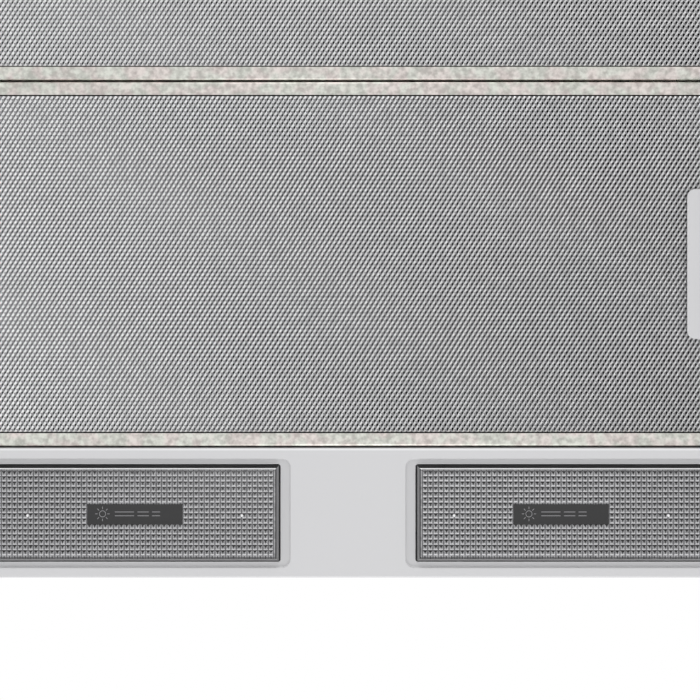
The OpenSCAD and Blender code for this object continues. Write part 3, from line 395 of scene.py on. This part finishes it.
edgeRadii = [  # CAD node, new name, material, slot, body, edge radius in mm
    ("housing_shell", "housingShell", enamel, "white_enamel", "hood", 0.45),
    ("front_fascia", "frontMoulding", enamel, "white_enamel", "hood", 0.5),
    ("side_rail_left", "railLeft", enamel, "white_enamel", "hood", 0.4),
    ("side_rail_right", "railRight", enamel, "white_enamel", "hood", 0.4),
    ("cross_rail", "crossRail", enamel, "white_enamel", "hood", 0.3),
    ("filter_handle_rear", "handleRear", whitePlastic, "white_plastic", "filter_rear", 0.45),
    ("filter_handle_front", "handleFront", whitePlastic, "white_plastic", "filter_front", 0.45),
    ("latch_rear", "latchRear", whitePlastic, "white_plastic", "filter_latch_rear", 0.5),
    ("latch_front", "latchFront", whitePlastic, "white_plastic", "filter_latch_front", 0.5),
    ("duct_collar", "ductCollar", collarPaint, "collar_steel", "hood", 0.3),
    ("control_bezel", "controlBezel", bezelPlastic, "bezel_plastic", "hood", 0.25),
    ("fan_slider", "fanKnob", greyPlastic, "grey_plastic", "fan_control", 0.3),
    ("light_slider", "lightKnob", greyPlastic, "grey_plastic", "light_control", 0.3),
]
for nodeName, pieceName, material, slotName, bodyName, radius in edgeRadii:
    piece = mergedCopy(nodeName)
    softEdges(piece, radius)
    finishPiece(piece, pieceName, material, bodyName, [nodeName])
    applyModifier(piece, "WEIGHTED_NORMAL", keep_sharp=True)  # broad faces stay flat beside their small radii
print("edges softened:", len(edgeRadii))


# ---- light panel: sunk borders with soft pressed shoulders ----

# edge radii and the depth of the sunk border, mm
panelSpec = {"shoulder": 0.7, "foot": 0.4, "edge": 1.3, "window": 0.35, "sink": 1.2}
windowHalf = (80.2 * mm, 27.3 * mm)  # half a window's length and depth, with its rolled edge
curl = 0.25 * mm
panelLow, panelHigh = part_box("light_panel")
panel = mergedCopy("light_panel")


def nearLevel(points, level):
    return all(abs(p.z - level) < 0.02 * mm for p in points)


def insidePanel(p):
    return panelLow.y + 2 * mm < p.y < panelHigh.y - 2 * mm and abs(p.x) < panelHigh.x - 2 * mm


def onWindow(p):  # the edge of one of the two openings
    return abs(abs(p.x) - windowMiddle[0]) < windowHalf[0] and abs(p.y - windowMiddle[1]) < windowHalf[1]


chooseEdges(panel, lambda a, b: nearLevel((a, b), panelLow.z) and insidePanel(a) and insidePanel(b))
bpy.ops.mesh.bevel(offset=panelSpec["shoulder"] * mm, segments=5, affect="EDGES")
bpy.ops.object.mode_set(mode="OBJECT")
sunkLevel = panelLow.z + panelSpec["sink"] * mm
chooseEdges(panel, lambda a, b: nearLevel((a, b), sunkLevel) and not onWindow(a) and not onWindow(b))
bpy.ops.mesh.bevel(offset=panelSpec["foot"] * mm, segments=4, affect="EDGES")
bpy.ops.object.mode_set(mode="OBJECT")
chooseEdges(panel, lambda a, b: nearLevel((a, b), sunkLevel) and onWindow(a) and onWindow(b))
bpy.ops.mesh.bevel(offset=panelSpec["window"] * mm, segments=4, affect="EDGES")
bpy.ops.object.mode_set(mode="OBJECT")
chooseEdges(panel, lambda a, b: nearLevel((a, b), panelLow.z) and not insidePanel(a) and not insidePanel(b))
bpy.ops.mesh.bevel(offset=panelSpec["edge"] * mm, segments=5, affect="EDGES")
bpy.ops.object.mode_set(mode="OBJECT")
for vertex in panel.data.vertices:  # the openings' long edges curl in a little, close to the covers
    offset = vertex.co.y - windowMiddle[1]
    onEdge = windowHalf[1] - 0.7 * mm < abs(offset) < windowHalf[1]
    if onEdge and vertex.co.z > sunkLevel - 0.01 * mm and insidePanel(vertex.co):
        vertex.co.y -= math.copysign(curl, offset)
finishPiece(panel, "lightPanel", enamel, "hood", ["light_panel"], 35)
panel.data.materials.append(borderShadeEnamel)
panel.data.materials.append(rimHighlightEnamel)
for face in panel.data.polygons:
    # sunk border faces take the darker enamel: painted shade
    if nearLevel([face.center], sunkLevel):
        face.material_index = 1
    # window rims and the front edge's bevel take the lighter enamel: painted highlight
    elif sunkLevel < face.center.z < sunkLevel + 0.5 * mm and onWindow(face.center):
        face.material_index = 2
    elif face.center.y < panelLow.y + panelSpec["edge"] * mm and -0.65 < face.normal.y < -0.1:
        face.material_index = 2
applyModifier(panel, "WEIGHTED_NORMAL", keep_sharp=True)
print("light panel made")


# ---- filter frames: folded strip with a rolled outer edge ----

rollRadius = 1.8 * mm
for side in ("rear", "front"):
    nodeName = "filter_frame_" + side
    low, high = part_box(nodeName)
    low.x = -high.x  # without the two tongues
    strip = mergedCopy(nodeName)

    def onRim(p):
        return min(abs(p.x - low.x), abs(p.x - high.x), abs(p.y - low.y), abs(p.y - high.y)) < 0.02 * mm

    chooseEdges(strip, lambda a, b: nearLevel((a, b), low.z) and onRim(a) and onRim(b))
    bpy.ops.mesh.bevel(offset=rollRadius, segments=5, affect="EDGES")
    bpy.ops.object.mode_set(mode="OBJECT")
    finishPiece(strip, "filterFrame" + side.title(), stripAluminium, "filter_" + side,
                [nodeName], 35)
print("filter frames made")


# ---- expanded metal ----

# sizes in mm; the lean is a part of the strand's width
faceSpec = {"pitchX": 2.68, "pitchY": 4.43, "strand": 1.4, "thick": 0.75, "lean": -0.5}
innerSpec = {"pitchX": 2.68, "pitchY": 4.43, "strand": 0.9, "thick": 0.5, "lean": -0.3}
backSpec = {"pitchX": 5.36, "pitchY": 8.86, "strand": 2.0, "thick": 0.5, "lean": -0.4}


def expandedSheet(low, high, z, spec):  # a net of zigzag strands; their ridge faces down and leans aside
    halfX, halfY = spec["pitchX"] * mm / 2, spec["pitchY"] * mm / 2
    columns = int((high.x - low.x) / (2 * halfX)) - 1
    rows = int((high.y - low.y) / (2 * halfY))
    width = spec["strand"] * mm
    top = z + spec["thick"] * mm
    section = [(-width / 2, 0, top), (width / 2, 0, top), (width * spec["lean"], 0, z)]
    strands = []
    for turn in (1, -1):
        bpy.ops.mesh.primitive_circle_add(vertices=3, fill_type="NOTHING", location=(0, 0, 0))
        strand = bpy.context.object
        for vertex, corner in zip(strand.data.vertices, section):
            vertex.co = corner
        bpy.ops.object.mode_set(mode="EDIT")
        bpy.ops.mesh.select_mode(type="EDGE")
        bpy.ops.mesh.select_all(action="SELECT")
        for step in (turn, -turn):
            bpy.ops.mesh.extrude_region_move(TRANSFORM_OT_translate={"value": (step * halfX, halfY, 0)})
        bpy.ops.mesh.select_all(action="SELECT")
        bpy.ops.mesh.normals_make_consistent(inside=False)
        bpy.ops.object.mode_set(mode="OBJECT")
        strands.append(strand)
    net = joinPieces(strands)
    weld = {"use_relative_offset": False, "use_constant_offset": True,
            "use_merge_vertices": True, "merge_threshold": 0.01 * mm}
    applyModifier(net, "ARRAY", count=columns, constant_offset_displace=(2 * halfX, 0, 0), **weld)
    applyModifier(net, "ARRAY", count=rows, constant_offset_displace=(0, 2 * halfY, 0), **weld)
    net.location = ((low.x + high.x) / 2 - (columns - 1) * halfX, (low.y + high.y) / 2 - rows * halfY, 0)
    applyPlace(net)
    return net


def trimNet(net, test):
    chooseFaces(net, test)
    bpy.ops.mesh.delete(type="FACE")
    bpy.ops.object.mode_set(mode="OBJECT")


def cutAcross(net, level, side):  # cuts the net square at this Y and drops what lies beyond it
    makeActive(net)
    bpy.ops.object.mode_set(mode="EDIT")
    bpy.ops.mesh.select_all(action="SELECT")
    bpy.ops.mesh.bisect(plane_co=(0, level, 0), plane_no=(0, side, 0), use_fill=True, clear_outer=True)
    bpy.ops.object.mode_set(mode="OBJECT")


def copyOf(obj, shift, turn=0.0, flip=False):  # its own mesh, turned about the filter's middle, then moved
    made = bpy.data.objects.new(obj.name + "Copy", obj.data.copy())
    bpy.context.scene.collection.objects.link(made)
    low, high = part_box("filter_mesh_rear")
    middle = (low + high) / 2
    place = Matrix.Translation(middle + Vector(shift)) @ Matrix.Rotation(turn, 4, "Z")
    if flip:
        place = place @ Matrix.Diagonal((1, 1, -1, 1))
    made.matrix_world = place @ Matrix.Translation(-middle)
    applyPlace(made)
    if flip:
        bpy.ops.object.mode_set(mode="EDIT")
        bpy.ops.mesh.select_all(action="SELECT")
        bpy.ops.mesh.flip_normals()
        bpy.ops.object.mode_set(mode="OBJECT")
    return made


netLow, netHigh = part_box("filter_mesh_rear")
pocketLow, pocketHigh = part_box("filter_handle_rear")
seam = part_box("filter_mesh_front")[0].y - netLow.y  # from the rear filter to the front one
faceNet = expandedSheet(netLow, netHigh, netLow.z - 0.2 * mm, faceSpec)
innerNet = expandedSheet(netLow, netHigh, netLow.z, innerSpec)
lip = 7.15 * mm  # the face sheet ends just short of the folded lip; the gap lets the core's painted shade show as a dark line


def underPlate(p):
    return p.x > pocketLow.x + 1.5 * mm and pocketLow.y + 1.5 * mm < p.y < pocketHigh.y - 1.5 * mm


def overPocket(p):  # where the handle's hollow comes through to the back
    middle = (pocketLow.y + pocketHigh.y) / 2
    return pocketLow.x + 6 * mm < p.x < pocketHigh.x and abs(p.y - middle) < 28.5 * mm


def outsideCore(p):
    return underPlate(p) or not (netLow.x < p.x < netHigh.x and netLow.y < p.y < netHigh.y)


straightNet, innerNet = innerNet, copyOf(innerNet, (0.9 * mm, 1.3 * mm, 0.6 * mm), math.radians(1.3))
bpy.data.objects.remove(straightNet)
trimNet(innerNet, outsideCore)
trimNet(faceNet, underPlate)
for net in (faceNet, innerNet):
    for level, side in ((netLow.y + lip, -1), (netHigh.y - lip, 1)):
        cutAcross(net, level, side)
backNet = expandedSheet(netLow, netHigh, netLow.z, backSpec)
trimNet(backNet, overPocket)
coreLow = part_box("filter_core_rear")[0]
block = mergedCopy("filter_core_rear")
for vertex in block.data.vertices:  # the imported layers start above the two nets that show
    if vertex.co.z < coreLow.z + 0.1 * mm:
        vertex.co.z = coreLow.z + 1.0 * mm
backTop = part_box("filter_backing_rear")[1].z
for side, shift in (("Front", seam), ("Rear", 0)):
    bodyName = "filter_" + side.lower()
    last = side == "Rear"
    net = faceNet if last else copyOf(faceNet, (0, shift, 0))
    finishPiece(net, "meshFace" + side, meshAluminium, bodyName,
                ["filter_mesh_" + side.lower()])
    inner = innerNet if last else copyOf(innerNet, (0, shift, 0))
    finishPiece(inner, "meshInner" + side, innerAluminiumShaded, bodyName)
    packed = block if last else copyOf(block, (0, shift, 0))
    finishPiece(packed, "meshCore" + side, coreShade, bodyName, ["filter_core_" + side.lower()])
    back = copyOf(backNet, (0, shift, backTop - netHigh.z), flip=True)
    finishPiece(back, "meshBack" + side, meshAluminium, bodyName,
                ["filter_backing_" + side.lower()])
bpy.data.objects.remove(backNet)
print("expanded metal made:", len(faceNet.data.polygons), "faces a sheet")


# ---- lamp covers: clear moulding with a field of small pyramids ----

lensSpec = {  # mm
    "columns": 52, "rows": 16, "ridge": 0.14, "rise": 0.85, "apex": 0.35,  # prisms
    "face": (154.2, 48.8), "outline": (158.8, 53.1), "wall": 2.0,
    "label": (52.2, 10.8), "glintSpot": 58.8,
}


def lensLoop(obj, centre, size, z):  # extrudes the open rim to a new outline at a new height
    bpy.ops.object.mode_set(mode="EDIT")
    bpy.ops.mesh.extrude_region_move(TRANSFORM_OT_translate={"value": (0, 0, 0)})
    bpy.ops.object.mode_set(mode="OBJECT")
    rim = [v for v in obj.data.vertices if v.select]
    was = [max(v.co[i] for v in rim) - centre[i] for i in (0, 1)]
    bpy.ops.object.mode_set(mode="EDIT")
    grow = (size[0] * mm / 2 / was[0], size[1] * mm / 2 / was[1], 1)
    bpy.ops.transform.resize(value=grow, center_override=centre)
    bpy.ops.transform.translate(value=(0, 0, z - rim[0].co.z))
    bpy.ops.object.mode_set(mode="OBJECT")


def buildLens(nodeName):
    spec = lensSpec
    low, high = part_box(nodeName)
    centre = Vector(((low.x + high.x) / 2, low.y + 0.4 * mm + spec["outline"][1] * mm / 2, low.z))
    bpy.ops.mesh.primitive_grid_add(x_subdivisions=spec["columns"], y_subdivisions=spec["rows"], size=1,
                                    location=centre, rotation=(math.pi, 0, 0))
    lens = bpy.context.object
    lens.scale = (spec["columns"] * prismPitch[0] * mm, spec["rows"] * prismPitch[1] * mm, 1)
    applyPlace(lens)
    halfLabel = [size * mm / 2 for size in spec["label"]]
    chooseFaces(lens, lambda p: abs(p.x - centre.x) > halfLabel[0] or abs(p.y - centre.y) > halfLabel[1])
    bpy.ops.mesh.inset(thickness=spec["ridge"] * mm, use_individual=True)
    bpy.ops.mesh.poke(offset=spec["rise"] * mm)
    bpy.ops.object.mode_set(mode="OBJECT")
    for vertex in lens.data.vertices:
        vertex.select = vertex.co.z < low.z - 0.5 * spec["rise"] * mm
    bpy.ops.object.mode_set(mode="EDIT")
    bpy.ops.transform.translate(value=(0, -spec["apex"] * mm, 0))
    bpy.ops.mesh.select_mode(type="EDGE")
    bpy.ops.mesh.select_all(action="DESELECT")
    bpy.ops.mesh.select_non_manifold()
    bpy.ops.object.mode_set(mode="OBJECT")
    outer, wall = spec["outline"], 2 * spec["wall"]
    shoulder = -148.8 * mm  # where the sloping side turns upright
    inner = (outer[0] - wall, outer[1] - wall)
    lensLoop(lens, centre, spec["face"], low.z)
    lensLoop(lens, centre, outer, shoulder)
    lensLoop(lens, centre, outer, high.z)
    lensLoop(lens, centre, inner, high.z)
    lensLoop(lens, centre, inner, shoulder)
    lensLoop(lens, centre, (spec["face"][0] - wall, spec["face"][1] - wall), low.z + spec["wall"] * mm)
    bpy.ops.object.mode_set(mode="EDIT")
    bpy.ops.mesh.edge_face_add()
    bpy.ops.mesh.select_all(action="SELECT")
    bpy.ops.mesh.normals_make_consistent(inside=False)
    bpy.ops.object.mode_set(mode="OBJECT")
    return lens, centre


def buildLabel(centre):  # smooth window painted near black as the shade behind it, with a lamp sign and three plain bars in place of lettering
    halfW, halfD = lensSpec["label"][0] / 2, lensSpec["label"][1] / 2
    x, y, z = (c / mm for c in centre)
    plate = addBox((x - halfW, y - halfD + 0.1, z - 0.35), (x + halfW, y + halfD + 0.5, z + 0.1))
    softEdges(plate, 0.15, 2)
    plate.data.materials.append(labelShadeFilm)
    marks = []
    sign = (x - halfW + 8.4, y)
    bpy.ops.mesh.primitive_torus_add(major_radius=1.7 * mm, minor_radius=0.16 * mm, major_segments=32,
                                     minor_segments=6, location=(sign[0] * mm, sign[1] * mm, (z - 0.36) * mm))
    marks.append(bpy.context.object)
    for index in range(8):
        angle = index * math.pi / 4
        ray = (sign[0] + 3.3 * math.cos(angle), sign[1] + 3.3 * math.sin(angle), z - 0.38)
        bpy.ops.mesh.primitive_cube_add(size=1, scale=(1.3 * mm, 0.28 * mm, 0.14 * mm),
                                        rotation=(0, 0, angle), location=[c * mm for c in ray])
        marks.append(bpy.context.object)
    for start, length in ((15.2, 10.5), (27.6, 6.2), (35.6, 4.4)):
        for row in (-1.05, 1.05):
            left = x - halfW + start
            marks.append(addBox((left, y + row - 0.16, z - 0.45), (left + length, y + row + 0.16, z - 0.3)))
    for mark in marks:
        applyPlace(mark)
        mark.data.materials.append(labelInk)
    return joinPieces([plate] + marks)


for side in ("left", "right"):
    nodeName = "lamp_lens_" + side
    lens, centre = buildLens(nodeName)
    glintBeads = []
    # two white beads either side of the label: painted glints
    for sign in (-1, 1):
        spot = centre + Vector((sign * lensSpec["glintSpot"] * mm, 0.9 * mm, -0.5 * mm))
        bpy.ops.mesh.primitive_uv_sphere_add(segments=12, ring_count=8, radius=0.8 * mm, location=spot)
        glintBeads.append(bpy.context.object)
        applyPlace(glintBeads[-1])
    finishPiece(lens, "lampCover" + side.title(), prismAcrylic, "lamp_cover_" + side,
                [nodeName], 5)
    lens.data.materials.append(sideAcrylic)
    for face in lens.data.polygons:
        if face.center.z > centre.z + 0.05 * mm:
            face.material_index = 1
    glintSpot = joinPieces(glintBeads)
    finishPiece(glintSpot, "glintMarks" + side.title(), glintWhite, "lamp_cover_" + side)
    label = buildLabel(centre)
    finishPiece(label, "coverLabel" + side.title(), None, "lamp_cover_" + side)
print("lamp covers made")


# ---- stage ----

def addLight(name, kind, location, target, energy, size, colour):
    data = bpy.data.lights.new(name, kind)
    data.energy, data.color = energy, hexColour(colour)[:3]
    data.shape, data.size = "DISK", size
    light = bpy.data.objects.new(name, data)
    light.location = location
    light.rotation_euler = (Vector(target) - Vector(location)).to_track_quat("-Z", "Y").to_euler()
    bpy.context.scene.collection.objects.link(light)
    return light


def floorPaint():
    material, tree, shader, place = newMaterial("paleFloor", {"Roughness": 0.8})
    tone = toneMix(tree, noiseOf(tree, place, 0.4, 2), "E3E3E4", "E7E7E8")
    tree.links.new(tone, shader.inputs["Base Color"])
    return material


bpy.ops.mesh.primitive_plane_add(size=40, location=(0, 0, -2.4))
floor = bpy.context.object
floor.name = "studioFloor"
floor.data.materials.append(floorPaint())
addLight("keyLight", "AREA", (0.1, 1.9, -1.2), (0, 0, -0.1), 12, 1.2, "FFFFFF")
addLight("frontLight", "AREA", (-0.2, -2.3, -0.9), (0, 0, -0.1), 13, 1.2, "FFFFFF")

world = bpy.data.worlds.new("studioWorld")
world.use_nodes = True
world.node_tree.nodes["Background"].inputs["Color"].default_value = (1, 1, 1, 1)
world.node_tree.nodes["Background"].inputs["Strength"].default_value = 1.0
bpy.context.scene.world = world

cameraSpec = {"x": 0.0011, "y": 0.0246, "plane": -0.15, "frame": 0.385, "lens": 85, "stepFront": 0.045}
cameraData = bpy.data.cameras.new("camera")
camera = bpy.data.objects.new("camera", cameraData)
bpy.context.scene.collection.objects.link(camera)
cameraData.lens = cameraSpec["lens"]
cameraData.sensor_width = 36
distance = cameraSpec["frame"] * cameraSpec["lens"] / cameraData.sensor_width
camera.location = (cameraSpec["x"], cameraSpec["y"] - cameraSpec["stepFront"], cameraSpec["plane"] - distance)
camera.rotation_euler = (math.pi, 0, 0)
cameraData.shift_y = -cameraSpec["stepFront"] / cameraSpec["frame"]
bpy.context.scene.camera = camera
bpy.context.scene.view_settings.view_transform = "Standard"
print("stage made")
